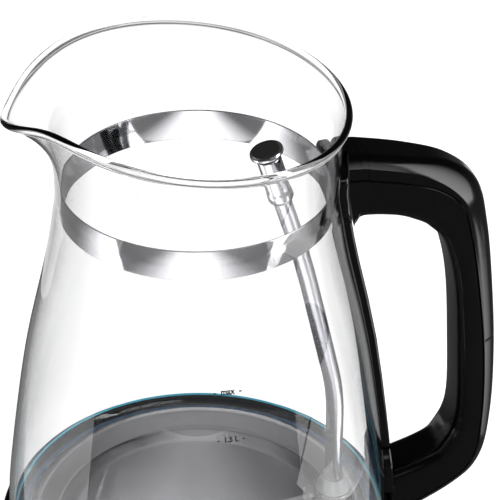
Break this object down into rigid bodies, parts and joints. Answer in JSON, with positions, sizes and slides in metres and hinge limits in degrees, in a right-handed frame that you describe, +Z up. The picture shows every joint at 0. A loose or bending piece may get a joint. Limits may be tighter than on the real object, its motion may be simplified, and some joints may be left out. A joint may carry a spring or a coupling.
{
  "type": "electric kettle",
  "caption": "Cordless electric kettle: an open spouted glass jug with a steel neck band, heating pan and steam tube, a black D-shaped handle and a round power base.",
  "frame": {"origin": "on the axis of the jug and of its power base, on the surface that the base stands on", "axes": "+Z up along the jug's axis, +X towards the handle, -X towards the spout, +Y towards the cord outlet"},
  "size_m": [0.2074, 0.1694, 0.2548],
  "materials": {
    "glass": "clear borosilicate",
    "polished_steel": "polished stainless steel",
    "pan_steel": "satin stainless steel",
    "element_sheath": "oxidised steel",
    "zinc_screw": "zinc plated",
    "aluminium": "plain",
    "bimetal": "plain",
    "brass": "plain",
    "gloss_black": "gloss",
    "matt_black": "fine matt",
    "white_plastic": "matt",
    "silicone": "matt",
    "rubber": "matt",
    "blue_diffuser": "translucent",
    "circuit_board": "satin",
    "led": "clear",
    "red_wire": "matt",
    "green_wire": "matt",
    "blue_wire": "matt"
  },
  "bodies": {
    "power_base": {"base_top_cover": "gloss_black", "base_bottom_cover": "matt_black", "base_connector": "matt_black", "base_neutral_ring": "brass", "base_live_ring": "brass", "base_earth_pin": "brass", "base_terminal_block": "white_plastic", "base_wire_live": "red_wire", "base_wire_neutral": "blue_wire", "base_wire_earth": "green_wire", "cord_outlet_bush": "rubber", "base_foot_1": "rubber", "base_foot_2": "rubber", "base_foot_3": "rubber", "base_foot_4": "rubber", "base_screw_1": "zinc_screw", "base_screw_2": "zinc_screw", "base_screw_3": "zinc_screw"},
    "jug": {"glass_jug": "glass", "neck_band": "polished_steel", "handle_body": "gloss_black", "handle_cover": "gloss_black", "handle_root_cap": "gloss_black", "handle_spine": "gloss_black", "handle_screw_upper": "zinc_screw", "handle_screw_lower": "zinc_screw", "steam_tube": "polished_steel", "steam_tube_sleeve": "polished_steel", "steam_tube_cap": "polished_steel", "steam_tube_grommet": "silicone", "heating_pan": "pan_steel", "pan_seal": "silicone", "heat_spreader": "aluminium", "heating_element": "element_sheath", "element_terminal_1": "brass", "element_terminal_2": "brass", "element_wire_1": "red_wire", "element_wire_2": "red_wire", "control_body": "white_plastic", "control_disc": "bimetal", "jug_live_contact": "brass", "jug_neutral_contact": "brass", "jug_earth_socket": "brass", "light_ring": "blue_diffuser", "led_board": "circuit_board", "led_1": "led", "led_2": "led", "led_3": "led", "led_wire": "red_wire", "steam_switch_housing": "white_plastic", "steam_switch_disc": "bimetal", "lever_pin": "zinc_screw", "base_housing": "gloss_black", "jug_bottom_cover": "matt_black", "cover_screw_1": "zinc_screw", "cover_screw_2": "zinc_screw", "cover_screw_3": "zinc_screw"},
    "lever": {"power_lever": "gloss_black"},
    "pushrod": {"switch_pushrod": "white_plastic"}
  },
  "joints": [
    {"name": "jug_lift", "type": "slide", "parent": "power_base", "child": "jug", "axis": [0, 0, 1], "range_m": [0, 0.08]},
    {"name": "power_lever_hinge", "type": "hinge", "parent": "jug", "child": "lever", "pos_m": [0.076, 0, 0.031], "axis": [0, 1, 0], "range_deg": [0, 14]},
    {"name": "pushrod_slide", "type": "slide", "parent": "jug", "child": "pushrod", "axis": [-1, 0, 0], "range_m": [0, 0.0011]}
  ],
  "couplings": [
    {"joint": "pushrod_slide", "follows": "power_lever_hinge", "m_per_rad": 0.0041}
  ]
}
